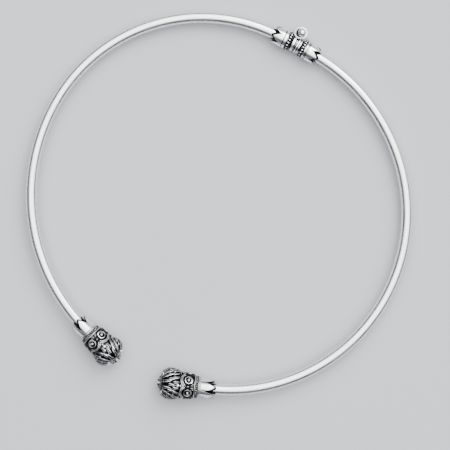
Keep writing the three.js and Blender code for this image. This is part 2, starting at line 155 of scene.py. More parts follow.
class TorcCuffSettings(bpy.types.PropertyGroup):
    """The scrollwork cuffs behind the heads."""
    wire_radius: millimetres("Start radius", "Radius over the double wire at the start", 4.17)
    field_start: millimetres("Field start", "Where the scrollwork starts along the cuff", 2.3)
    field_radius: millimetres("Field radius", "Radius of the field at its start", 4.3)
    field_flare: share("Field flare", "Growth of the field's radius along the cuff", 0.09)
    scrolls: count("Scrolls", "Scrolls around the cuff, in mirrored pairs", 6)
    scroll_station: millimetres("Scroll station", "Place of the scrolls' eyes along the cuff", 4.4)
    scroll_radius: millimetres("Scroll radius", "Radius of a scroll", 1.42)
    scroll_wire: millimetres("Scroll wire", "Half thickness of the scrolls' wire", 0.19)
    eye: millimetres("Eye", "Radius of the bead in the eye of a scroll", 0.46)
    lobe_radius: millimetres("Lobe radius", "Radius of the lobed edge around an eye", 2.95)
    rim_width: millimetres("Rim width", "Width of the beaded edge", 0.8)
    edge_wire: millimetres("Edge wire", "Radius of the two wires of the beaded edge", 0.12)
    grain: millimetres("Grain", "Radius of the smallest beads", 0.17)
    loops: count("Loops", "Small wire loops around the start of the cuff", 18)
    drop: millimetres("Drop", "Radius of the large bead that points into the mane", 0.66)


class TorcHeadSettings(bpy.types.PropertyGroup):
    """The lion heads."""
    back: millimetres("Back", "Where the head starts, from the start of the cuff", 7.5)
    middle: millimetres("Middle", "Station of the thickest part of the head", 10.6)
    girth: millimetres("Girth", "Half width of the head under its locks", 5.3)
    front: millimetres("Front", "Depth of the front from the thickest part", 3.7, 3.95)
    length: share("Length", "Length ahead of the thickest part, over its drawn length", 0.92, 1.0)
    bluntness: share("Bluntness", "2 for a round front, more for a blunt one", 2.1, 2.6)
    neck: millimetres("Neck", "Half width at the back, under the locks", 4.35)
    flattening: share("Flattening", "Height of the mane over its width", 0.9)
    locks: count("Locks", "Locks on each side of a tier", 12)
    lock_length: millimetres("Lock length", "Length of a lock of the front tier", 3.7)
    lock_width: millimetres("Lock width", "Half width of a lock", 0.68)
    lock_thickness: millimetres("Lock thickness", "Thickness of a lock", 0.62)
    lock_lift: millimetres("Lock lift", "How far the tip of a lock stands off", 0.5)
    lean: angle("Lean", "How far the locks swing away from the parting", 46.0)


class TorcFinishSettings(bpy.types.PropertyGroup):
    """The colours and gloss of the metal."""
    silver: colour("Silver", "Colour of the bright metal", (0.90, 0.90, 0.915))
    tarnish: colour("Tarnish", "Colour of the faint tarnish", (0.72, 0.71, 0.70))
    # also the colour of the painted shadow beside and under the leaves and over the ball's seat
    blackening_and_shade: colour("Blackening", "Colour of the blackened recesses", (0.006, 0.006, 0.007))
    polish: share("Polish", "Roughness of the polished metal", 0.24)
    dullness: share("Dullness", "Roughness of the blackened metal", 0.38)


class TorcStageSettings(bpy.types.PropertyGroup):
    """The floor, the lights and the camera."""
    floor: colour("Floor", "Colour of the floor", (0.45, 0.46, 0.48))
    floor_size: bpy.props.FloatProperty(
        name="Floor size", description="Half width of the floor", default=3.0, unit="LENGTH")
    dim: share("Dim", "Light from the horizon of the dome", 0.16)
    bright: share("Bright", "Light from the bright part of the dome", 5.0)
    key: number("Key", "Power of the key light, in watts", [5.0], unit="POWER")
    view_roll: angle("View roll", "Turn of the view about the vertical", 28.07)
    view_across: millimetres("View across", "Middle of the view, along +X from the hinge", 8.3)
    view_along: millimetres("View along", "Middle of the view, along +Y from the hinge", -70.3)
    view_distance: millimetres("View distance", "Height of the camera above the torc", 614.0)
    lens: millimetres("Lens", "Focal length", 135.0)


SETTINGS = {
    "torc_bar": TorcBarSettings,
    "torc_leaf": TorcLeafSettings,
    "torc_hinge": TorcHingeSettings,
    "torc_cuff": TorcCuffSettings,
    "torc_head": TorcHeadSettings,
    "torc_finish": TorcFinishSettings,
    "torc_stage": TorcStageSettings,
}


# ---- Small helpers ----

def smoothstep(low, high, value):
    t = np.clip((np.asarray(value, float) - low) / (high - low), 0.0, 1.0)
    return t * t * (3.0 - 2.0 * t)


def mix(a, b, t):
    return a + (b - a) * t


def mesh_points(mesh):
    points = np.empty(len(mesh.vertices) * 3)
    mesh.vertices.foreach_get("co", points)
    return points.reshape(-1, 3)


def taken(bm):
    """The bmesh as a loose mesh; the bmesh is freed."""
    mesh = bpy.data.meshes.new("working")
    bm.to_mesh(mesh)
    bm.free()
    return mesh


def joined(*meshes):
    bm = bmesh.new()
    for mesh in meshes:
        bm.from_mesh(mesh)
    return bm


def repeated(mesh, placed):
    """A mesh that holds one copy of `mesh` for each array of points in `placed`."""
    out = taken(joined(*[mesh] * len(placed)))
    out.vertices.foreach_set("co", np.concatenate(placed).ravel())
    return out


# ---- The bent bar ----

def bends(half):
    """Radius and sweep of a half's two bends, from the back."""
    bar = bpy.context.scene.torc_bar
    pairs = ((bar.back_radius, bar.back_sweep), (bar.front_radius, bar.front_sweep))
    return [(of_half(radius, half), of_half(sweep, half)) for radius, sweep in pairs]


def bar_length(half):
    bar = bpy.context.scene.torc_bar
    return bar.hinge_straight + sum(r * s for r, s in bends(half)) + of_half(bar.end, half)


def bar_line(half, stations):
    """Points and headings on the bar's centre line, for an array of distances from the hinge."""
    bar = bpy.context.scene.torc_bar
    stations = np.asarray(stations, float)
    heading = np.full_like(stations, math.pi + bar.cant if half == "left" else -bar.cant)
    along = np.minimum(stations, bar.hinge_straight)
    x, y = along * np.cos(heading), along * np.sin(heading)
    left = stations - along
    for radius, sweep in bends(half):
        distance = np.clip(left, 0.0, radius * sweep)
        bend = distance / radius
        chord = 2.0 * radius * np.sin(bend / 2.0)
        x = x + chord * np.cos(heading + TURN[half] * bend / 2.0)
        y = y + chord * np.sin(heading + TURN[half] * bend / 2.0)
        heading = heading + TURN[half] * bend
        left = left - distance
    return x + left * np.cos(heading), y + left * np.sin(heading), heading


def laid_along(half, points):
    """Straight-modelled points, laid along the bent bar."""
    x, y, heading = bar_line(half, points[:, 0])
    across = points[:, 1]
    return np.stack([x - across * np.sin(heading), y + across * np.cos(heading), points[:, 2]], axis=1)


def rest_matrix():
    """From the torc's flat frame, in millimetres from the hinge's split, to the frame at rest, in metres."""
    joint = frame["joints"][0]
    up = Vector(joint["axis"]).normalized()
    across = Vector((1.0, 0.0, 0.0))
    outward = up.cross(across)
    split = Vector(joint["pos_m"]) - outward * (bpy.context.scene.torc_hinge.pivot_offset * MM)
    turn = Matrix((across, outward, up)).transposed().to_4x4()
    return Matrix.Translation(split) @ turn @ Matrix.Scale(MM, 4)


def to_rest(points):
    matrix = np.array(rest_matrix())
    placed = points @ matrix[:3, :3].T + matrix[:3, 3]
    placed[:, 2] = np.maximum(placed[:, 2], 0.0)
    return placed


def rolled(points, roll):
    """Points turned about the bar."""
    c, s = math.cos(roll), math.sin(roll)
    x, y, z = points.T
    return np.stack([x, y * c + z * s, z * c - y * s], axis=1)


def terminal_roll(half):
    return of_half(bpy.context.scene.torc_bar.roll, half)


def piece(name, bm, half, slot, node, station=None, roll=0.0, recess=None, sharp=35.0):
    """Finishes one piece: lays it along its half from a station, where one is given, and dresses it at rest.

    `recess` holds how black each point is, or works it out from the straight points, and edges that turn
    by more than `sharp` degrees stay crisp.
    """
    bmesh.ops.recalc_face_normals(bm, faces=bm.faces)
    for face in bm.faces:
        face.smooth = True
    mesh = taken(bm)
    mesh.name = name
    points = mesh_points(mesh)
    if recess is not None:
        values = recess(points) if callable(recess) else recess
        mesh.attributes.new("recess", "FLOAT", "POINT").data.foreach_set("value", values.astype(np.float32))
    if station is not None:
        points = rolled(points, roll)
        points[:, 0] += station
        points = laid_along(half, points)
    mesh.vertices.foreach_set("co", to_rest(points).ravel())
    mesh.update()
    mesh.set_sharp_from_angle(angle=math.radians(sharp))
    mesh.materials.append(metal(slot))
    made = bpy.data.objects.new(name, mesh)
    bpy.context.scene.collection.objects.link(made)
    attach(made, f"{half}_half")
    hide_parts(node)


# ---- Shapes ----

def turned(profile, steps=96, closed=False):
    """A shape turned about x from (station, radius) corners that end on the axis, or close on themselves."""
    bm = bmesh.new()
    corners = [bm.verts.new((x, 0.0, r)) for x, r in profile]
    following = corners[1:] + corners[:1] if closed else corners[1:]
    edges = [bm.edges.new(pair) for pair in zip(corners, following)]
    bmesh.ops.spin(bm, geom=corners + edges, cent=(0.0, 0.0, 0.0), axis=(1.0, 0.0, 0.0),
                   angle=2.0 * math.pi, steps=steps, use_merge=True)
    if not closed:
        bmesh.ops.remove_doubles(bm, verts=bm.verts, dist=1e-4)
    return bm


def ring(profile, steps=96):
    return turned(profile, steps, closed=True)


def tube(low, high, bore, radius, steps=96):
    return ring([(low, bore), (low, radius), (high, radius), (high, bore)], steps)


def ridged(ridges, start, end, low, slope):
    """An outline from `start` to `end` that rises from `low` to each ridge, (first, last, radius)."""
    outline = [(start, low)]
    for first, last, high in ridges:
        outline += [(first - slope, low), (first, high), (last, high), (last + slope, low)]
    return [*outline, (end, low)]


def softened(bm, width, segments=2, turn=30.0):
    """Rounds the edges that turn by more than an angle, in degrees."""
    bm.normal_update()
    sharp = [e for e in bm.edges if e.is_manifold and e.calc_face_angle(0.0) > math.radians(turn)]
    bmesh.ops.bevel(bm, geom=sharp, offset=width, offset_type="OFFSET", segments=segments, profile=0.5,
                    affect="EDGES", clamp_overlap=True, material=-1)
    return bm


def wire_ring(station, radius, half_width, sides, steps):
    """A ring of round wire."""
    turns = [2.0 * math.pi * k / sides for k in range(sides)]
    section = [(station + half_width * math.cos(a), radius + half_width * math.sin(a)) for a in turns]
    return ring(section, steps)


def rod(steps, sides):
    """A unit rod: x runs from 0 to 1 along it, and y and z go round its section."""
    bm = bmesh.new()
    bmesh.ops.create_cone(bm, cap_ends=True, cap_tris=False, segments=sides, radius1=1.0, radius2=1.0,
                          depth=1.0)
    bmesh.ops.rotate(bm, verts=bm.verts, cent=(0, 0, 0), matrix=Matrix.Rotation(math.pi / 2.0, 3, "Y"))
    bmesh.ops.translate(bm, verts=bm.verts, vec=(0.5, 0.0, 0.0))
    long_edges = [e for e in bm.edges if abs(e.verts[0].co.x - e.verts[1].co.x) > 0.5]
    bmesh.ops.subdivide_edges(bm, edges=long_edges, cuts=steps - 1, use_grid_fill=True)
    for vert in bm.verts:
        vert.co.x = min(1.0, max(0.0, vert.co.x))
    return taken(bm)


def bead_mesh(subdivisions):
    bm = bmesh.new()
    bmesh.ops.create_icosphere(bm, subdivisions=subdivisions, radius=1.0)
    return taken(bm)


# ---- Materials ----

FINISHES = {
    # slot: material, scale of its scratches, and the recess where the blackening and painted shade start and
    # where they are full
    "polished_silver": ("polished_bar_silver", 2600.0, 0.40, 0.72),
    "darkened_silver": ("blackened_worked_silver", 3800.0, 0.16, 0.48),
}


def fill(tree, node, values):
    """Sets a node's sockets to numbers and colours, or links other nodes' outputs to them."""
    for socket, value in values.items():
        if isinstance(value, bpy.types.NodeSocket):
            tree.links.new(value, node.inputs[socket])
        else:
            node.inputs[socket].default_value = value


def output(tree, kind, socket, values, **options):
    """Adds a shader node and gives one of its outputs."""
    node = tree.nodes.new(f"ShaderNode{kind}")
    for option, value in options.items():
        setattr(node, option, value)
    fill(tree, node, values)
    return node.outputs[socket]


def metal(slot):
    """Silver that is blackened, and on some pieces painted with shade, where the piece's recess attribute
    says so, with faint wear and tarnish.
    """
    name, scratches, clear, full = FINISHES[slot]
    if name in bpy.data.materials:
        return bpy.data.materials[name]
    finish = bpy.context.scene.torc_finish
    material = bpy.data.materials.new(name)
    material.use_nodes = True
    tree = material.node_tree
    place = output(tree, "TexCoord", "Object", {})
    cloud = output(tree, "TexNoise", "Fac", {"Vector": place, "Scale": 160.0, "Detail": 5.0})
    scratch = output(tree, "TexNoise", "Fac", {"Vector": place, "Scale": scratches, "Detail": 3.0})
    recess = output(tree, "Attribute", "Fac", {}, attribute_name="recess")
    # the blackening and painted shade break up along the edge of a recess
    broken = output(tree, "Math", "Value", {0: scratch, 1: 0.35, 2: recess}, operation="MULTIPLY_ADD")
    depth = output(tree, "MapRange", "Result", {"Value": broken, "From Min": clear, "From Max": full},
                   interpolation_type="SMOOTHSTEP")
    haze = output(tree, "MapRange", "Result",
                  {"Value": cloud, "From Min": 0.45, "From Max": 0.75, "To Max": 0.35})
    bright = output(tree, "Mix", "Result",
                    {"Factor": haze, "A": (*finish.silver, 1.0), "B": (*finish.tarnish, 1.0)},
                    data_type="RGBA")
    tone = output(tree, "Mix", "Result",
                  {"Factor": depth, "A": bright, "B": (*finish.blackening_and_shade, 1.0)}, data_type="RGBA")
    gloss = output(tree, "MapRange", "Result",
                   {"Value": cloud, "From Min": 0.35, "From Max": 0.7,
                    "To Min": finish.polish * 0.8, "To Max": finish.polish * 1.35})
    rough = output(tree, "Mix", "Result",
                   {"Factor": depth, "A": gloss, "B": finish.dullness}, data_type="FLOAT")
    bump = output(tree, "Bump", "Normal", {"Height": scratch, "Strength": 0.06, "Distance": 0.00002})
    fill(tree, tree.nodes["Principled BSDF"],
         {"Base Color": tone, "Roughness": rough, "Metallic": 1.0, "Normal": bump})
    return material


# ---- Places along the bar, in millimetres ----

# at the hinge, from the split
CAP_LENGTH = {"left": 1.82, "right": 2.32}
BEAD_START = {"left": 1.9, "right": 2.4}
BEAD_LENGTH = {"left": 1.4, "right": 1.35}
BAND_START = {"left": 3.38, "right": 3.83}
BAND_LENGTH = {"left": 1.52, "right": 1.46}
LEAF_START = {"left": 5.2, "right": 5.6}
CROWN_OVERLAP = 0.02  # how far the sheet of the leaves starts inside its band

# at a terminal, from the start of the cuff
TERMINAL_CROWN_START = -0.06
TERMINAL_LEAF_START = -0.5
BAR_GAP = 0.1  # between the bar and what is fitted on it or at its ends


# ---- Hoops ----

def hoop(half):
    """A round bar, straight, with close rings at its ends, where it is blackened and painted with shadow
    around the leaves.
    """
    bar = bpy.context.scene.torc_bar
    length = bar_length(half)
    hinge_zone, terminal_zone = 12.0, 6.5
    stations = np.concatenate([
        np.linspace(CAP_LENGTH[half] + BAR_GAP, hinge_zone, bar.end_steps, endpoint=False),
        np.linspace(hinge_zone, length - terminal_zone, bar.long_steps, endpoint=False),
        np.linspace(length - terminal_zone, length - BAR_GAP, bar.end_steps),
    ])
    mesh = rod(len(stations) - 1, bar.sides)
    unit = mesh_points(mesh)
    steps = np.rint(unit[:, 0] * (len(stations) - 1)).astype(int)
    points = np.stack([stations[steps], unit[:, 1] * bar.radius, unit[:, 2] * bar.radius], axis=1)
    mesh.vertices.foreach_set("co", points.ravel())
    return joined(mesh)


def outline_shade(points, leaf_start, reach, phase):
    """How black the bar is beside a collar, blackening and painted shadow together: full under the leaves,
    fading away from their edge.
    """
    leaf = bpy.context.scene.torc_leaf
    shade = np.zeros(len(points))
    near = np.abs(points[:, 0] - leaf_start - reach / 2.0) < abs(reach)
    x, y, z = points[near].T
    pitch = 2.0 * np.pi / leaf.leaves
    turns = ((np.arctan2(y, z) - phase) / pitch + 0.5) % 1.0 - 0.5
    spread = bpy.context.scene.torc_bar.radius * pitch
    sample = np.linspace(-1.0, 1.0, 241)  # places along the edge, over a leaf to each side
    edge = leaf_start + reach * leaf_reach(sample * pitch)[0]
    gap = np.hypot(x[:, None] - edge, (turns[:, None] - sample) * spread).min(axis=1)
    under = (x - leaf_start - reach * leaf_reach(turns * pitch)[0]) * reach < 0.0
    # painted shadow with blackening: black under the leaves, fading out beside their edge
    shade[near] = np.where(under, 1.0, smoothstep(leaf.shadow, leaf.shadow * 0.45, gap))
    return shade


class TORC_OT_hoops(bpy.types.Operator):
    """Bend the two round bars"""
    bl_idname = "torc.hoops"
    bl_label = "Hoops"

    def execute(self, context):
        leaf = context.scene.torc_leaf
        for half in HALVES:
            leaf_end = bar_length(half) + TERMINAL_LEAF_START

            # the bar gets painted shadow with blackening beside both collars' leaves
            def beside_leaves(p):
                return np.maximum(
                    outline_shade(p, LEAF_START[half], leaf.hinge_length, leaf_turn(half, "hinge")),
                    outline_shade(p, leaf_end, -leaf.terminal_length, leaf_turn(half, "terminal")))

            piece(f"{half}_round_bar", hoop(half), half, "polished_silver", f"{half}_hoop", 0.0,
                  recess=beside_leaves)
        return {"FINISHED"}


# ---- Leaf collars ----

def leaf_turn(half, end):
    """How far a collar's leaves are turned about the bar."""
    turn = of_half(getattr(bpy.context.scene.torc_leaf, f"{end}_turn"), half)
    return turn + terminal_roll(half) if end == "terminal" else turn


def leaf_reach(roll):
    """How far out the leaves' edge is at an angle, 0 between leaves and 1 at a tip.

    The second value runs from 0 at the middle of a leaf to 1 between leaves.
    """
    pitch = 2.0 * np.pi / bpy.context.scene.torc_leaf.leaves
    u = np.abs(((roll / pitch + 0.5) % 1.0) - 0.5) * 2.0
    return np.sqrt(np.maximum(0.0, 1.0 - u)), u


def leaf_crown(start, leaf_start, reach, base_radius, tip_radius):
    """A sheet collar whose edge is cut into pointed leaves, each with a soft belly."""
    leaf = bpy.context.scene.torc_leaf
    columns, rows, rounding = 24 * leaf.leaves, 16, 0.07
    bm = bmesh.new()
    bmesh.ops.create_grid(bm, x_segments=columns, y_segments=rows, size=1.0)
    for vert in bm.verts:
        roll = (vert.co.x + 1.0) * math.pi
        tip, u = leaf_reach(roll)
        station = mix(start, leaf_start + reach * float(tip), (vert.co.y + 1.0) / 2.0)
        out = max(0.0, (station - leaf_start) / reach)
        radius = mix(base_radius, tip_radius, out)
        # the belly is high where the leaf starts and gone at its tip
        rise = math.sin(math.pi * min(1.0, 0.25 + 0.75 * out))
        radius += leaf.belly * (1.0 - float(u) ** 2) * rise
        vert.co = (station, radius * math.sin(roll), radius * math.cos(roll))
    bmesh.ops.remove_doubles(bm, verts=bm.verts, dist=1e-4)
    bmesh.ops.recalc_face_normals(bm, faces=bm.faces)
    bmesh.ops.solidify(bm, geom=bm.faces[:], thickness=leaf.wall)
    return softened(bm, rounding, turn=50.0)


def inside_leaves(points, base, tip, leaf_start, reach):
    """1 on the hidden side of the leaves, 0 on their outer face: painted shade with blackening under the
    sheet.
    """
    wall = bpy.context.scene.torc_leaf.wall
    out = (points[:, 0] - leaf_start) / reach
    depth = mix(base, tip, np.clip(out, 0.0, 1.0)) - np.hypot(points[:, 1], points[:, 2])
    return smoothstep(wall * 0.45, wall * 0.85, depth) * (out > -0.2)


def hinge_band(half):
    """The smooth ferrule band behind the leaves, with its groove, and a thin ring on the right half."""
    bore = bpy.context.scene.torc_bar.radius + BAR_GAP
    base = bpy.context.scene.torc_leaf.hinge_base
    high, low, slope, rounding = base + 0.07, base - 0.3, 0.07, 0.03
    ridges = {"left": [(0.2, 1.16, high)], "right": [(0.2, 0.72, high), (1.04, 1.24, high)]}
    end = BAND_LENGTH[half]
    corners = [(0.0, bore), *ridged(ridges[half], 0.0, end, low, slope), (end, bore)]
    return softened(ring([(BAND_START[half] + x, r) for x, r in corners]), rounding)


class TORC_OT_leaf_collars(bpy.types.Operator):
    """Cut and raise the four collars of pointed leaves"""
    bl_idname = "torc.leaf_collars"
    bl_label = "Leaf collars"

    def execute(self, context):
        leaf = context.scene.torc_leaf
        terminal = (TERMINAL_LEAF_START, -leaf.terminal_length)
        for half in HALVES:
            hinge = (LEAF_START[half], leaf.hinge_length)

            # the band's groove is blackened; the leaves' hidden side gets painted shade with blackening
            def at_hinge(p):
                groove = smoothstep(0.06, 0.2, leaf.hinge_base - np.hypot(p[:, 1], p[:, 2]))
                inside = inside_leaves(p, leaf.hinge_base, leaf.hinge_tip, *hinge)
                return groove * (p[:, 0] < LEAF_START[half] - 0.3) + inside

            # painted shade with blackening on the hidden side of the terminal leaves
            def at_terminal(p):
                return inside_leaves(p, leaf.terminal_base, leaf.terminal_tip, *terminal)

            crown = leaf_crown(BAND_START[half] + BAND_LENGTH[half] - CROWN_OVERLAP, *hinge,
                               leaf.hinge_base, leaf.hinge_tip)
            piece(f"{half}_hinge_leaf_collar", joined(taken(crown), taken(hinge_band(half))), half,
                  "polished_silver", f"{half}_hinge_leaves", 0.0, leaf_turn(half, "hinge"), at_hinge)
            crown = leaf_crown(TERMINAL_CROWN_START, *terminal, leaf.terminal_base, leaf.terminal_tip)
            piece(f"{half}_terminal_leaf_collar", crown, half, "polished_silver", f"{half}_terminal_leaves",
                  bar_length(half), leaf_turn(half, "terminal"), at_terminal)
        return {"FINISHED"}


# ---- Hinge ----

class TORC_OT_bead_rings(bpy.types.Operator):
    """Set the rings of long beads beside the hinge"""
    bl_idname = "torc.bead_rings"
    bl_label = "Bead rings"

    def execute(self, context):
        hinge = context.scene.torc_hinge
        # a bead's height, half length and half width, over the ring's length and its own pitch
        height, long_share, wide_share = 0.5, 0.46, 0.4
        inset, rounding = 0.04, 0.05
        bore = context.scene.torc_bar.radius + BAR_GAP
        seat = hinge.bead_ring_radius - height
        pitch = 2.0 * math.pi / hinge.beads
        template = bead_mesh(2)
        for half in HALVES:
            start, length = BEAD_START[half], BEAD_LENGTH[half]
            bead = mesh_points(template) * (length * long_share, wide_share * pitch * seat, height)
            bead += (start + length / 2.0, 0.0, seat)
            beads = [rolled(bead, pitch * k) for k in range(hinge.beads)]
            core = tube(start + inset, start + length - inset, bore, seat - rounding)
            both = joined(repeated(template, beads), taken(softened(core, rounding)))
            piece(f"{half}_beaded_ring", both, half, "darkened_silver", f"{half}_bead_ring", 0.0,
                  recess=lambda p: smoothstep(0.1, 0.34, hinge.bead_ring_radius - np.hypot(p[:, 1], p[:, 2])))
        return {"FINISHED"}


CAP_RADIUS = 2.74
CAP_CREST = 3.05
GROOVE = 0.16
# stretches of an end cap that stand above its grooves: first and last station, and radius
CAP_RIDGES = {
    "left": [(0.36, 1.2, CAP_CREST)],
    "right": [(-0.9, 0.2, CAP_RADIUS), (0.6, 1.1, CAP_CREST), (1.46, 1.84, CAP_CREST - 0.1)],
}


def standing(bm):
    """Turns a shape from the x axis onto the hinge's upright axis, where its z stands for -x."""
    hinge = bpy.context.scene.torc_hinge
    bmesh.ops.rotate(bm, verts=bm.verts, cent=(0, 0, 0), matrix=Matrix.Rotation(-math.pi / 2.0, 3, "Y"))
    bmesh.ops.translate(bm, verts=bm.verts, vec=(0.0, hinge.pivot_offset, 0.0))
    return bm


def knuckle(low, high):
    hinge = bpy.context.scene.torc_hinge
    barrel = tube(low, high, hinge.pin_radius + hinge.play, hinge.knuckle_radius, 64)
    return standing(softened(barrel, 0.12, 3))


def rimmed_knuckle(low, high):
    """The top knuckle, with the raised ring that the ball sits in and a plate that closes the ring below."""
    hinge = bpy.context.scene.torc_hinge
    rim_height, sunk, proud = 0.5, 0.1, 0.06
    bore, seat = hinge.pin_radius + hinge.play, high - rim_height
    body = softened(tube(low, seat, bore, hinge.knuckle_radius, 64), 0.06)
    wire = wire_ring(high - rim_height / 2.0, hinge.rim_radius, hinge.rim_wire, 16, 64)
    plate = tube(seat - sunk, seat + proud, bore, hinge.rim_radius, 64)
    rim = joined(taken(wire), taken(plate))
    bmesh.ops.translate(rim, verts=rim.verts, vec=(0.0, hinge.rim_outward, -hinge.rim_across))
    return standing(joined(taken(body), taken(rim)))


def difference(bm, cutters):
    """The shape less its cutters."""
    scene = bpy.context.scene
    body = bpy.data.objects.new("cut_body", taken(bm))
    scene.collection.objects.link(body)
    tools = []
    for cutter in cutters:
        tool = bpy.data.objects.new("cutter", taken(cutter))
        scene.collection.objects.link(tool)
        cut = body.modifiers.new("cut", "BOOLEAN")
        cut.operation = "DIFFERENCE"
        cut.solver = "EXACT"
        cut.object = tool
        tools.append(tool)
    bpy.context.view_layer.update()
    evaluated = body.evaluated_get(bpy.context.evaluated_depsgraph_get())
    result = bmesh.new()
    result.from_mesh(evaluated.to_mesh())
    evaluated.to_mesh_clear()
    for used in [body, *tools]:
        bpy.data.objects.remove(used)
    return result


def scoop(low, high):
    """The room that the other half's knuckles turn in."""
    hinge = bpy.context.scene.torc_hinge
    radius = hinge.knuckle_radius + hinge.play
    return standing(turned([(low, 0.0), (low, radius), (high, radius), (high, 0.0)], 64))


def end_cap(half):
    """The end cap in place at the hinge, cut off at the split and scooped for the other half's knuckles."""
    hinge = bpy.context.scene.torc_hinge
    start, end, side = -1.0, CAP_LENGTH[half], -TURN[half]
    slope, rounding, over = 0.08, 0.05, 1.0
    outline = ridged(CAP_RIDGES[half], start, end, CAP_RADIUS - GROOVE, slope)
    cap = taken(softened(turned([(start, 0.0), *outline, (end, 0.0)]), rounding))
    cap.vertices.foreach_set("co", laid_along(half, mesh_points(cap)).ravel())
    bm = joined(cap)
    bmesh.ops.recalc_face_normals(bm, faces=bm.faces)
    cut = bmesh.ops.bisect_plane(bm, geom=bm.verts[:] + bm.edges[:] + bm.faces[:], dist=1e-5,
                                 plane_co=(side * hinge.split, 0.0, 0.0), plane_no=(-side, 0.0, 0.0),
                                 clear_outer=True)
    bmesh.ops.holes_fill(bm, edges=[g for g in cut["geom_cut"] if isinstance(g, bmesh.types.BMEdge)])
    top = hinge.knuckle_half_height + over
    middle, gap = hinge.middle_half_height, hinge.play
    if half == "left":
        return difference(bm, [scoop(-middle - gap, middle + gap)])
    return difference(bm, [scoop(middle, top), scoop(-top, -middle)])


def hinge_shade(points):
    """Blackens the caps' grooves, and paints shadow on the seat of the ball and the lower side of the ring
    around it.
    """
    hinge = bpy.context.scene.torc_hinge
    x, y, z = points.T
    groove = smoothstep(GROOVE * 0.3, GROOVE * 0.8, CAP_RADIUS - np.hypot(y, z))
    from_pin = np.hypot(x, y - hinge.pivot_offset)
    from_ring = np.hypot(x - hinge.rim_across, y - hinge.pivot_offset - hinge.rim_outward)
    in_ring = from_ring < hinge.rim_radius + hinge.rim_wire + 0.05
    at_top = in_ring & (z > hinge.knuckle_half_height - 0.7)
    # painted shadow under the ball, over its seat and the inner half of the ring's wire
    seat = smoothstep(hinge.rim_radius - 0.05, hinge.rim_radius - 0.2, from_ring)
    # the barrel stays bright, with a margin that takes in its own surface
    barrel = (from_pin < hinge.knuckle_radius + 0.02) & (from_pin > 0.3)
    return np.where(at_top, seat, np.where(barrel, 0.0, groove))


class TORC_OT_hinge(bpy.types.Operator):
    """Turn and cut the hinge's end caps and knuckles"""
    bl_idname = "torc.hinge"
    bl_label = "Hinge"

    def execute(self, context):
        hinge = context.scene.torc_hinge
        middle, gap, top = hinge.middle_half_height, hinge.play, hinge.knuckle_half_height
        barrels = {
            "left": [rimmed_knuckle(middle + gap, top), knuckle(-top, -middle - gap)],
            "right": [knuckle(-middle, middle)],
        }
        for half in HALVES:
            parts = [taken(part) for part in (end_cap(half), *barrels[half])]
            piece(f"{half}_hinge_end", joined(*parts), half, "polished_silver", f"{half}_hinge_cap",
                  recess=hinge_shade)
        return {"FINISHED"}


class TORC_OT_hinge_pin(bpy.types.Operator):
    """Turn the hinge pin with its ball head"""
    bl_idname = "torc.hinge_pin"
    bl_label = "Hinge pin"

    def execute(self, context):
        hinge = context.scene.torc_hinge
        height, shank = hinge.ball_height, hinge.pin_radius
        # the rivet head below: corners of (height, radius), from its crown to the shank
        rivet = [(-3.45, 0.0), (-3.42, 0.8), (-3.3, 1.05), (-3.1, 1.1), (-3.08, shank)]
        ball = bmesh.new()
        bmesh.ops.create_uvsphere(ball, u_segments=64, v_segments=40, radius=hinge.ball_radius)
        bmesh.ops.translate(ball, verts=ball.verts, vec=(height, hinge.ball_outward, -hinge.ball_across))
        pin = turned([*rivet, (height, shank), (height, 0.0)], 64)
        piece("hinge_pin_with_ball", standing(joined(taken(pin), taken(ball))), "left", "polished_silver",
              "hinge_pin")
        return {"FINISHED"}


# ---- Cuffs ----

NECK_STATION = 7.42
NECK_RADIUS = 3.6


def field_radius(x):
    cuff = bpy.context.scene.torc_cuff
    return cuff.field_radius + cuff.field_flare * (x - cuff.field_start)


def eye_across():
    """Distance from the middle line of a pair of scrolls to an eye, round the cuff."""
    cuff = bpy.context.scene.torc_cuff
    return math.pi / cuff.scrolls * field_radius(cuff.scroll_station)


def wrapped(points):
    """From station, distance across and height above the field, to the cuff's round field."""
    roll = points[:, 1] / field_radius(bpy.context.scene.torc_cuff.scroll_station)
    radius = field_radius(points[:, 0]) + points[:, 2]
    return np.stack([points[:, 0], radius * np.sin(roll), radius * np.cos(roll)], axis=1)


def lobe_edge(roll):
    """Station of the lobed edge at an angle around the cuff."""
    cuff = bpy.context.scene.torc_cuff
    pitch = 2.0 * np.pi / cuff.scrolls
    from_eye = np.abs((np.asarray(roll) / pitch) % 1.0 - 0.5) * pitch * field_radius(cuff.scroll_station)
    return cuff.scroll_station + np.sqrt(cuff.lobe_radius ** 2 - from_eye ** 2)


def flat_wire(template, path, radius, taper=0.0, height=0.0, squash=1.0):
    """A wire that lies on the field along a path of (station, across), as wrapped points."""
    t, side, up = mesh_points(template).T
    step = 1e-3
    here = np.array([path(value) for value in t])
    way = np.array([path(value + step) for value in t]) - here
    way /= np.linalg.norm(way, axis=1)[:, None]
    thick = radius * (1.0 - taper * t)
    return wrapped(np.stack([
        here[:, 0] - way[:, 1] * side * thick,
        here[:, 1] + way[:, 0] * side * thick,
        height + up * thick * squash,
    ], axis=1))


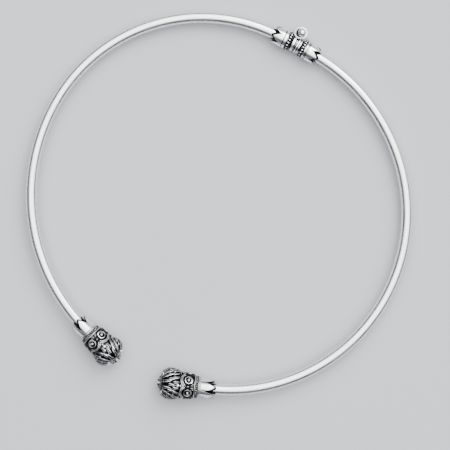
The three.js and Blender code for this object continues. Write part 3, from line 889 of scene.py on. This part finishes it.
def scroll_path(side, middle):
    """A scroll: a tail that leaves the middle line of its pair, passes round outside its eye and winds in."""
    cuff = bpy.context.scene.torc_cuff
    first, last = math.radians(205.0), math.radians(-285.0)
    tail, tail_length = 0.06, 0.6
    wound, wound_share, inmost = 0.8, 0.8, 0.4
    base = middle * field_radius(cuff.scroll_station)

    def path(t):
        turn = mix(first, last, max(0.0, (t - tail) / (1.0 - tail)))
        radius = mix(cuff.scroll_radius, cuff.scroll_radius * wound_share, min(1.0, t / wound))
        radius = mix(radius, inmost, max(0.0, (t - wound) / (1.0 - wound)) ** 1.4)
        lead = tail_length * max(0.0, 1.0 - t / tail)
        along = radius * math.cos(turn) - lead * math.sin(turn)
        across = radius * math.sin(turn) + lead * math.cos(turn)
        return cuff.scroll_station + along, base + side * (eye_across() + across)
    return path


def arc_path(eye, radius, half_turn):
    """An arc of the lobed edge around an eye."""
    station = bpy.context.scene.torc_cuff.scroll_station

    def path(t):
        turn = mix(-half_turn, half_turn, t)
        return station + radius * math.cos(turn), eye + radius * math.sin(turn)
    return path


def grains(template, spots):
    """Beads on the field, from (station, across, height, radius)."""
    unit = mesh_points(template)
    return repeated(template, [wrapped(unit * r + (x, across, height)) for x, across, height, r in spots])


def cuff_shell():
    """The tapering cuff itself: a plain band, the field with its lobed edge, and the neck in it."""
    cuff = bpy.context.scene.torc_cuff
    start, step, low = 0.08, 0.25, cuff.wire_radius - 0.3
    band = [(start, 0.0), (start, low), (cuff.field_start - step, low), (cuff.field_start, cuff.field_radius)]
    # from here on a corner is (distance from the lobed edge, height above the field), moved by an offset
    # that keeps it apart from the band and off the axis until it is set against the edge
    edge, lifted = 1000.0, 4.0
    field = [(-3.0, 0.0), (-1.6, 0.0), (-0.9, 0.0), (0.0, 0.0), (0.0, -0.35)]
    neck = [(edge + 1.0, NECK_RADIUS), (edge + 1.0, 0.0)]
    bm = turned(band + [(edge + x, lifted + height) for x, height in field] + neck, 240)
    for vert in bm.verts:
        x, y, z = vert.co
        if x > edge + 0.5:
            vert.co.x = NECK_STATION
        elif x > edge / 2.0:
            roll = math.atan2(y, z)
            station = max(cuff.field_start + 0.1, float(lobe_edge(roll)) + (x - edge))
            radius = field_radius(station) + (math.hypot(y, z) - lifted)
            vert.co = (station, radius * math.sin(roll), radius * math.cos(roll))
    return bm


def pair_beads(middle, fine, coarse):
    """The stem of small beads between the two scrolls of a pair, its sprays, and the drop at its tip."""
    cuff = bpy.context.scene.torc_cuff
    stem_start, stem_pitch, stem_beads, large_one = cuff.field_start + 0.3, 0.46, 8, 4
    for k in range(stem_beads):
        size = cuff.grain * (1.5 if k == large_one else 1.05)
        fine.append((stem_start + stem_pitch * k, middle, 0.1, size))
    sprays = ((6.55, 0.5), (7.05, 0.27), (2.75, 0.5), (2.75, 1.0), (3.2, 0.48))  # station, across
    for side in (-1, 1):
        for x, across in sprays:
            fine.append((x, middle + side * across, 0.14, cuff.grain * 1.2))
    coarse.append((7.1, middle, 0.2, 0.36))
    coarse.append((8.12, middle, 0.12, cuff.drop))


def cuff_wirework():
    """Scrolls, stems, beads and the beaded double edge of one cuff, as one mesh."""
    cuff = bpy.context.scene.torc_cuff
    scroll_rod, arc_rod = rod(72, 10), rod(40, 8)
    scrolls, arcs, fine, coarse = [], [], [], []
    eye, reference = eye_across(), field_radius(cuff.scroll_station)
    lobe_turn = math.asin(min(1.0, eye / cuff.lobe_radius))
    for k in range(cuff.scrolls // 2):
        middle = 4.0 * math.pi * k / cuff.scrolls
        for side in (-1, 1):
            scrolls.append(flat_wire(scroll_rod, scroll_path(side, middle), cuff.scroll_wire,
                                     taper=0.15, height=0.1, squash=1.4))
            coarse.append((cuff.scroll_station, middle * reference + side * eye, 0.12, cuff.eye))
        pair_beads(middle * reference, fine, coarse)
    edge_beads, bead_line = 10, cuff.lobe_radius - cuff.rim_width / 2.0
    outer, inner = cuff.lobe_radius - cuff.edge_wire, cuff.lobe_radius - cuff.rim_width + cuff.edge_wire
    edge_wires = ((outer, math.asin(min(1.0, (eye - 0.02) / outer))), (inner, lobe_turn * 1.12))
    for k in range(cuff.scrolls):
        across = 2.0 * math.pi * (k + 0.5) / cuff.scrolls * reference
        for radius, turn in edge_wires:
            arcs.append(flat_wire(arc_rod, arc_path(across, radius, turn), cuff.edge_wire, height=0.2))
        place = arc_path(across, bead_line, lobe_turn * 0.98)
        for n in range(edge_beads):
            fine.append((*place(n / (edge_beads - 1)), 0.16, cuff.grain * 0.95))
        # a pair of small beads fills the spandrel behind each scroll
        for offset, size in ((0.225, 1.1), (-0.18, 0.8)):
            fine.append((cuff.scroll_station - 1.55, across + offset, 0.08, cuff.grain * size))
    return joined(repeated(scroll_rod, scrolls), repeated(arc_rod, arcs),
                  grains(bead_mesh(2), fine), grains(bead_mesh(3), coarse))


def cuff_bands():
    """The double wire at the start of the cuff and the row of small wire loops beside it."""
    cuff = bpy.context.scene.torc_cuff
    top = cuff.wire_radius
    plain = ((0.22, 0.14), (0.66, 0.14), (2.08, 0.12))  # station and half thickness of each wire
    wires = [taken(wire_ring(x, top - r, r, 12, 128)) for x, r in plain]
    loop, bead = taken(wire_ring(0.0, 0.42, 0.1, 6, 12)), bead_mesh(1)
    row, seat, pitch = 1.42, top - 0.22, 2.0 * math.pi / cuff.loops
    row_beads = ((row, 0.0, 0.15), (1.04, 0.5, 0.11), (1.8, 0.5, 0.11))  # station, share of the pitch, radius
    loops, beads = [], []
    for k in range(cuff.loops):
        loops.append(rolled(mesh_points(loop)[:, [2, 1, 0]] + (row, 0.0, seat), pitch * k))
        for station, turn, size in row_beads:
            beads.append(rolled(mesh_points(bead) * size + (station, 0.0, seat), pitch * (k + turn)))
    return wires + [repeated(loop, loops), repeated(bead, beads)]


class TORC_OT_cuffs(bpy.types.Operator):
    """Raise the cuffs and solder on their wires and beads"""
    bl_idname = "torc.cuffs"
    bl_label = "Cuffs"

    def execute(self, context):
        cuff = context.scene.torc_cuff

        def in_field(points):
            x, y, z = points.T
            crest = np.where(x < cuff.field_start - 0.15, cuff.wire_radius - 0.06, field_radius(x) + 0.34)
            return smoothstep(0.04, 0.16, crest - np.hypot(y, z))

        for half in HALVES:
            whole = joined(taken(cuff_shell()), taken(cuff_wirework()), *cuff_bands())
            piece(f"{half}_scrollwork_cuff", whole, half, "darkened_silver", f"{half}_cuff",
                  bar_length(half), terminal_roll(half), in_field)
        return {"FINISHED"}


# ---- Lion heads ----

def ellipsoid(p, centre, radii):
    """Signed distance to an ellipsoid, near its surface."""
    q = p - np.asarray(centre)
    r = np.asarray(radii)
    near = np.linalg.norm(q / r, axis=1)
    slope = np.linalg.norm(q / (r * r), axis=1)
    return near * (near - 1.0) / np.maximum(slope, 1e-9)


def capsule(p, a, b, radius):
    """Signed distance to a rod with round ends."""
    a, b = np.asarray(a, float), np.asarray(b, float)
    way = b - a
    t = np.clip(((p - a) @ way) / (way @ way), 0.0, 1.0)
    return np.linalg.norm(p - a - t[:, None] * way, axis=1) - radius


def blended(a, b, softness):
    """Two shapes' distances joined with a soft seam."""
    h = np.clip(0.5 + 0.5 * (b - a) / softness, 0.0, 1.0)
    return mix(b, a, h) - softness * h * (1.0 - h)


def carved(body, tool, softness):
    return -blended(-body, tool, softness)


FACE = (
    # each form is blended onto the head or carved out of it, softly, and mirrored from +y to -y:
    # an ellipsoid has a middle and three radii, a capsule two ends and a radius
    (blended, ellipsoid, ((13.0, 0.0, 0.2), (1.6, 3.5, 3.3)), 0.4),  # front of the skull
    (blended, ellipsoid, ((13.9, 2.05, -0.95), (1.2, 1.3, 1.35)), 0.5),  # cheek
    (blended, capsule, ((13.2, 0.0, -0.9), (14.5, 0.0, -0.85), 1.6), 0.45),  # muzzle
    (blended, capsule, ((14.2, 0.0, 1.7), (15.1, 0.0, 0.45), 0.55), 0.45),  # bridge of the nose
    (carved, ellipsoid, ((15.0, 1.4, 0.75), (0.9, 0.8, 0.5)), 0.25),  # eye hollow
    (blended, capsule, ((14.65, 0.35, 1.35), (14.6, 1.35, 1.75), 0.27), 0.22),  # brow, inner half
    (blended, capsule, ((14.6, 1.35, 1.75), (14.05, 2.55, 1.1), 0.27), 0.22),  # brow, outer half
    (blended, capsule, ((14.15, 0.0, 2.55), (13.95, 1.7, 2.6), 0.25), 0.15),  # ridge where the mane begins
    (blended, capsule, ((13.95, 1.7, 2.6), (13.6, 2.9, 1.75), 0.25), 0.15),  # its outer part
    (blended, capsule, ((14.38, 1.12, 0.66), (14.3, 1.6, 0.86), 0.3), 0.04),  # eye
    (carved, ellipsoid, ((14.68, 1.32, 0.76), (0.16, 0.13, 0.14)), 0.04),  # pupil
    (blended, ellipsoid, ((15.05, 1.0, -0.66), (0.93, 0.98, 0.92)), 0.12),  # whisker pad
    (blended, ellipsoid, ((14.45, 0.0, -2.35), (1.15, 1.2, 0.7)), 0.25),  # chin
    (blended, ellipsoid, ((15.4, 0.0, 0.12), (0.45, 0.78, 0.42)), 0.12),  # nose
    (carved, ellipsoid, ((15.6, 0.0, -1.66), (1.2, 1.65, 0.17)), 0.12),  # mouth
    (carved, ellipsoid, ((15.85, 0.0, -0.75), (0.75, 0.13, 0.9)), 0.1),  # cleft of the upper lip
    (carved, ellipsoid, ((15.82, 0.34, 0.02), (0.2, 0.16, 0.11)), 0.06),  # nostril
    *((carved, ellipsoid, (spot, (0.12, 0.08, 0.08)), 0.04)  # roots of the whiskers
      for spot in ((15.82, 1.32, -0.5), (15.62, 1.6, -0.72), (15.76, 1.32, -0.92))),
)


MANE_FRONT = 13.95  # station of the roots of the foremost locks


def front_shape(half):
    """Depth and bluntness of a head's front."""
    head = bpy.context.scene.torc_head
    return of_half(head.front, half), of_half(head.bluntness, half)


def mane_radius(half, x):
    """Half width of the head under its locks."""
    head = bpy.context.scene.torc_head
    depth, blunt = front_shape(half)
    ahead = np.clip((x - head.middle) / depth, 0.0, 0.985)
    behind = np.clip(head.middle - x, 0.0, None) / (head.middle - head.back)
    return np.where(x > head.middle, head.girth * (1.0 - ahead ** blunt) ** (1.0 / blunt),
                    mix(head.girth, head.neck, behind ** 2))


def head_distance(half, p):
    """Signed distance to the head without its locks."""
    head = bpy.context.scene.torc_head
    depth, blunt = front_shape(half)
    x, y, z = p.T
    across = np.hypot(y, z / head.flattening)
    ahead = np.clip((x - head.middle) / depth, 0.0, None)
    reach = (ahead ** blunt + (across / head.girth) ** blunt) ** (1.0 / blunt)
    skull = np.where(x > head.middle, (reach - 1.0) * depth * 0.9, across - mane_radius(half, x))
    shape = np.maximum(skull, head.back - x)
    mirrored = np.stack([x, np.abs(y), z], axis=1)
    for joins, form, sizes, softness in FACE:
        shape = joins(shape, form(mirrored, *sizes), softness)
    return shape


def head_base(half):
    """The carved head without locks: a sphere drawn in from outside to the head's surface."""
    columns, rings, gathered = 240, 170, 1.35
    start, rounds, stride = 7.5, 70, 0.7
    bm = bmesh.new()
    bmesh.ops.create_uvsphere(bm, u_segments=columns, v_segments=rings, radius=1.0)
    bmesh.ops.rotate(bm, verts=bm.verts, cent=(0, 0, 0), matrix=Matrix.Rotation(math.pi / 2.0, 3, "Y"))
    mesh = taken(bm)
    x, y, z = mesh_points(mesh).T
    # the rings gather at the face
    polar = np.pi * (np.arccos(np.clip(x, -1.0, 1.0)) / np.pi) ** gathered
    turn = np.arctan2(y, z)
    way = np.stack([np.cos(polar), np.sin(polar) * np.sin(turn), np.sin(polar) * np.cos(turn)], axis=1)
    centre = np.array((11.6, 0.0, -0.1))
    reach = np.full(len(way), start)
    for _ in range(rounds):
        reach -= stride * head_distance(half, centre + way * reach[:, None])
    points = centre + way * reach[:, None]
    mesh.vertices.foreach_set("co", points.ravel())
    # blackened where the surface is below its neighbourhood, and under the locks
    normal = np.stack([head_distance(half, points + nudge) - head_distance(half, points - nudge)
                       for nudge in np.eye(3) * 0.02], axis=1)
    normal /= np.maximum(np.linalg.norm(normal, axis=1)[:, None], 1e-9)
    recess = smoothstep(MANE_FRONT, MANE_FRONT - 0.45, points[:, 0])
    for step, least, most in ((0.3, 0.03, 0.2), (0.8, 0.06, 0.34)):
        hollow = 1.0 - head_distance(half, points + normal * step) / step
        recess = np.maximum(recess, smoothstep(least, most, hollow))
    return mesh, recess


def mane_place(half, x, roll, height):
    """A point above the mane's base, measured square to it."""
    step, steepest = 0.05, 1.6
    slope = (mane_radius(half, x + step) - mane_radius(half, x - step)) / (2.0 * step)
    slope = np.clip(slope, -steepest, steepest)
    scale = 1.0 / np.sqrt(1.0 + slope ** 2)
    radius = mane_radius(half, x) + height * scale
    flattening = bpy.context.scene.torc_head.flattening
    return np.stack([x - height * slope * scale, radius * np.sin(roll),
                     flattening * radius * np.cos(roll)], axis=1)


def lock(half, unit, root, roll, side, length, lean, width, lift, sway):
    """One lock of the mane: a tapering, slightly grooved flame that curves in an S and lifts at its tip."""
    t, c, s = unit.T
    # half as wide at the root, full from a third of its length, and pointed
    girth = (0.5 + 0.5 * smoothstep(0.0, 0.3, t)) * np.maximum(0.0, 1.0 - t ** 2.6) ** 0.75
    beside = sway * length * np.sin(2.0 * np.pi * t) + width * girth * c
    station = root - length * t * math.cos(lean) + beside * math.sin(lean)
    across = length * t * math.sin(lean) + beside * math.cos(lean)
    # a groove along the top, that fades out at both ends; the underside is flatter
    groove = np.exp(-((c - 0.05) / 0.26) ** 2) * (s > 0.0)
    groove = groove * smoothstep(0.04, 0.16, t) * smoothstep(1.0, 0.86, t)
    top = np.where(s > 0.0, s * (1.0 - 0.42 * groove), 0.4 * s)
    thickness = bpy.context.scene.torc_head.lock_thickness * (0.35 + 0.65 * girth)
    height = lift * t ** 1.6 + thickness * top * np.maximum(girth, 0.12)
    # only the crests to each side of the groove stay bright
    shade = np.maximum(1.0 - smoothstep(0.45, 0.85, s), 1.1 * groove)
    shade = np.maximum(shade, smoothstep(0.24, 0.02, t))
    turn = side * across / (mane_radius(half, station) + 0.35)
    return mane_place(half, station, roll + turn, height), shade


def mane_locks(half):
    """The whole mane in tiers from the parting, each tier lying over the roots of the next."""
    head = bpy.context.scene.torc_head
    random = np.random.default_rng(SEEDS[half])

    def varied(middle, by):
        return middle + by * random.uniform(-1.0, 1.0)

    template = rod(14, 28)
    unit = mesh_points(template)
    points, shades = [], []
    tiers = (
        # station of the roots, size, share of a lock's pitch that the tier is shifted by
        (MANE_FRONT, 1.0, 0.5),
        (12.2, 1.0, 0.0),
        (10.4, 0.9, 0.5),
    )
    pitch = math.pi / (head.locks + 0.25)
    for root, tier_size, shift in tiers:
        for side in (-1.0, 1.0):
            for k in range(head.locks + 1):
                roll = pitch * (k + shift)
                if roll > math.pi - 0.5 * pitch or (roll == 0.0 and side > 0.0):
                    continue
                # straight along the parting, and again under the chin
                lean = head.lean * smoothstep(-0.35, 0.8, roll) * (1.0 - smoothstep(1.6, 3.0, roll))
                lean *= (roll > 0.0) * varied(1.0, 0.12)
                size = varied(1.0, 0.1)
                root_station = varied(root, 0.12)
                lift = head.lock_lift * tier_size * varied(1.0, 0.2)
                sway = varied(0.045, 0.02)
                length = head.lock_length * tier_size * size
                place, shade = lock(half, unit, root_station, side * roll, side, length, lean,
                                    head.lock_width * size, lift, sway)
                points.append(place)
                shades.append(shade)
    return repeated(template, points), np.concatenate(shades)


def ears():
    """Two small rounded ears at the sides of the brow, hollow in front."""
    template = bead_mesh(4)
    x, y, z = mesh_points(template).T
    dent = 0.9 * np.exp(-(np.hypot(y, z) / 0.55) ** 2) * (x > 0.0)
    ear = np.stack([(x - dent) * 0.45, y * 0.85, z * 0.95], axis=1) + (13.85, 0.0, 3.75)
    turn = math.radians(57.0)
    shade = smoothstep(0.25, 0.6, dent)
    return repeated(template, [rolled(ear, -turn), rolled(ear, turn)]), np.tile(shade, 2)


def shortened(bm, half):
    """Draws the front of a head in toward its thickest part."""
    head = bpy.context.scene.torc_head
    for vert in bm.verts:
        if vert.co.x > head.middle:
            vert.co.x = mix(head.middle, vert.co.x, of_half(head.length, half))
    return bm


class TORC_OT_lion_heads(bpy.types.Operator):
    """Carve the lion heads and comb their manes"""
    bl_idname = "torc.lion_heads"
    bl_label = "Lion heads"

    def execute(self, context):
        ear, ear_recess = ears()
        for half in HALVES:
            base, base_recess = head_base(half)
            locks, lock_recess = mane_locks(half)
            recess = np.concatenate([base_recess, lock_recess, ear_recess])
            piece(f"{half}_carved_lion_head", shortened(joined(base, locks, ear), half), half,
                  "darkened_silver", f"{half}_lion_head", bar_length(half), terminal_roll(half), recess, 60.0)
        return {"FINISHED"}


# ---- Stage ----

def dome(tree, toward):
    """A soft studio dome: bright around one direction, fading to a dim horizon."""
    stage = bpy.context.scene.torc_stage
    place = output(tree, "TexCoord", "Generated", {})
    facing = output(tree, "VectorMath", "Value", {0: place, 1: toward.normalized()}, operation="DOT_PRODUCT")
    fade = output(tree, "MapRange", "Result",
                  {"Value": facing, "From Min": 0.48, "From Max": 0.94,
                   "To Min": stage.dim, "To Max": stage.bright}, interpolation_type="SMOOTHSTEP")
    fill(tree, tree.nodes["Background"], {"Strength": fade, "Color": (0.97, 0.98, 1.0, 1.0)})


def placed_object(name, data, place, rotation):
    made = bpy.data.objects.new(name, data)
    made.location = place
    made.rotation_euler = rotation
    bpy.context.scene.collection.objects.link(made)
    return made


class TORC_OT_stage(bpy.types.Operator):
    """Lay the floor and set the lights and the camera"""
    bl_idname = "torc.stage"
    bl_label = "Stage"

    def execute(self, context):
        stage = context.scene.torc_stage
        bm = bmesh.new()
        bmesh.ops.create_grid(bm, x_segments=1, y_segments=1, size=stage.floor_size)
        material = bpy.data.materials.new("pale_floor")
        material.use_nodes = True
        fill(material.node_tree, material.node_tree.nodes["Principled BSDF"],
             {"Base Color": (*stage.floor, 1.0), "Roughness": 0.85})
        mesh = taken(bm)
        mesh.name = "floor"
        mesh.materials.append(material)
        placed_object("floor", mesh, (0.0, 0.0, 0.0), (0.0, 0.0, 0.0))

        world = bpy.data.worlds.new("studio")
        world.use_nodes = True
        roll = stage.view_roll
        right = Vector((math.cos(roll), math.sin(roll), 0.0))
        up = Vector((-math.sin(roll), math.cos(roll), 0.0))
        over = Vector((0.0, 0.0, 1.0))
        dome(world.node_tree, right * 0.2 + up * 0.3 + over)
        context.scene.world = world

        key = bpy.data.lights.new("key", "AREA")
        key.shape = "SQUARE"
        key.size = 0.5
        key.energy = stage.key
        place = right * 0.35 + up * 0.55 + over * 0.75
        placed_object("key", key, place, (-place).to_track_quat("-Z", "Y").to_euler())

        camera = bpy.data.cameras.new("camera")
        camera.lens = stage.lens
        camera.sensor_width = 36.0
        camera.clip_start, camera.clip_end = 0.01, 20.0
        middle = rest_matrix() @ Vector((stage.view_across, stage.view_along, 0.0))
        place = middle + over * (stage.view_distance * MM)
        context.scene.camera = placed_object("camera", camera, place, (0.0, 0.0, roll))
        return {"FINISHED"}


# ---- Panel and registration ----

OPERATORS = (
    TORC_OT_stage,
    TORC_OT_hoops,
    TORC_OT_leaf_collars,
    TORC_OT_bead_rings,
    TORC_OT_hinge,
    TORC_OT_hinge_pin,
    TORC_OT_cuffs,
    TORC_OT_lion_heads,
)


class TORC_PT_panel(bpy.types.Panel):
    """Lists the torc's sizes and the steps that make it"""
    bl_idname = "TORC_PT_panel"
    bl_label = "Torc"
    bl_space_type = "VIEW_3D"
    bl_region_type = "UI"
    bl_category = "Torc"

    def draw(self, context):
        for operator in OPERATORS:
            self.layout.operator(operator.bl_idname)
        for name, group in SETTINGS.items():
            box = self.layout.box()
            box.label(text=group.__doc__)
            for key in group.__annotations__:
                box.prop(getattr(context.scene, name), key)


CLASSES = (*SETTINGS.values(), *OPERATORS, TORC_PT_panel)


def register():
    for cls in CLASSES:
        bpy.utils.register_class(cls)
    for name, group in SETTINGS.items():
        setattr(bpy.types.Scene, name, bpy.props.PointerProperty(type=group))


def unregister():
    for name in SETTINGS:
        delattr(bpy.types.Scene, name)
    for cls in reversed(CLASSES):
        bpy.utils.unregister_class(cls)


def main():
    register()
    for operator in OPERATORS:
        getattr(bpy.ops.torc, operator.bl_idname.split(".")[1])()


if __name__ == "__main__":
    main()
